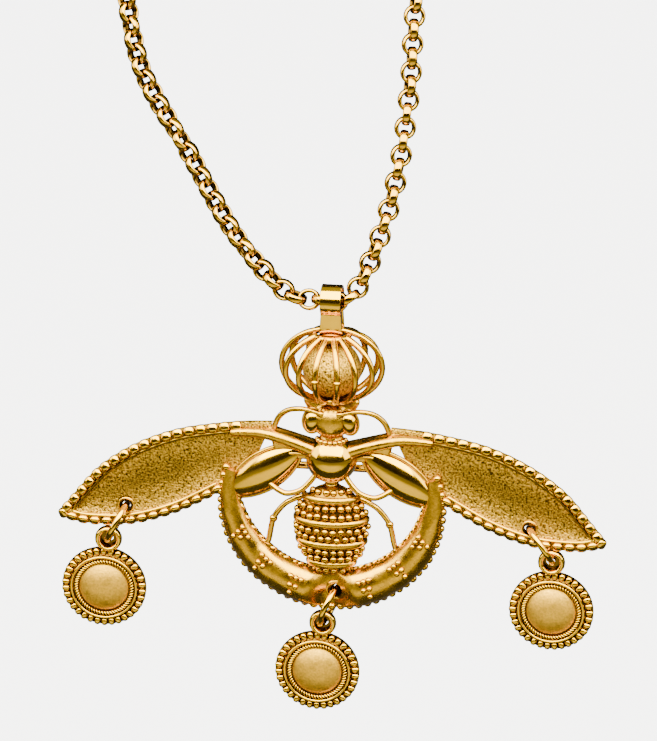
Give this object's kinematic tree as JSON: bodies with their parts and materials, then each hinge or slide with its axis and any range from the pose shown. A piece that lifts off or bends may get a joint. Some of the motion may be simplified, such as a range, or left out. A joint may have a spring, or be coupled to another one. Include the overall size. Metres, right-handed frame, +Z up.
{
  "type": "pendant brooch on a chain",
  "caption": "Gold bee pendant brooch with satin leaf wings, striped granulated body, crescent moon, wire cage, hanging discs and a hinged pin, hung from a belcher chain by a folded bail.",
  "frame": {"origin": "nape of the neck, where the top of the chain loop and its clasp rest", "axes": "+X to the viewer's right, +Z up, the front of the brooch faces -Y"},
  "size_m": [0.1182, 0.1245, 0.1521],
  "materials": {
    "gold_chain": "gold plated, polished round wire",
    "gold_polished": "gold plated, high polish",
    "gold_cast": "gold plated casting, satin fields with polished rims",
    "gold_sandblasted": "gold plated, sandblasted",
    "gold_back": "gold plated, plain tumbled",
    "gold_disc": "gold plated, satin dome with bright rim"
  },
  "bodies": {
    "necklace": {"chain": "gold_chain", "clasp": "gold_polished"},
    "pendant": {"bail": "gold_polished", "brooch_body": "gold_cast", "cage_core": "gold_sandblasted", "pin_hinge": "gold_back", "pin_catch": "gold_back", "pin_rivet": "gold_polished", "jump_ring_left": "gold_polished", "jump_ring_centre": "gold_polished", "jump_ring_right": "gold_polished", "disc_left": "gold_disc", "disc_centre": "gold_disc", "disc_right": "gold_disc"},
    "pin": {"pin_stem": "gold_polished"}
  },
  "joints": [
    {"name": "pendant_swing", "type": "hinge", "parent": "necklace", "child": "pendant", "pos_m": [0.008, -0.118, -0.105], "axis": [1, 0, 0], "range_deg": [-75, 75]},
    {"name": "pin_swing", "type": "hinge", "parent": "pendant", "child": "pin", "pos_m": [-0.0004, -0.1158, -0.1243], "axis": [0, 0, 1], "range_deg": [0, 75]}
  ]
}
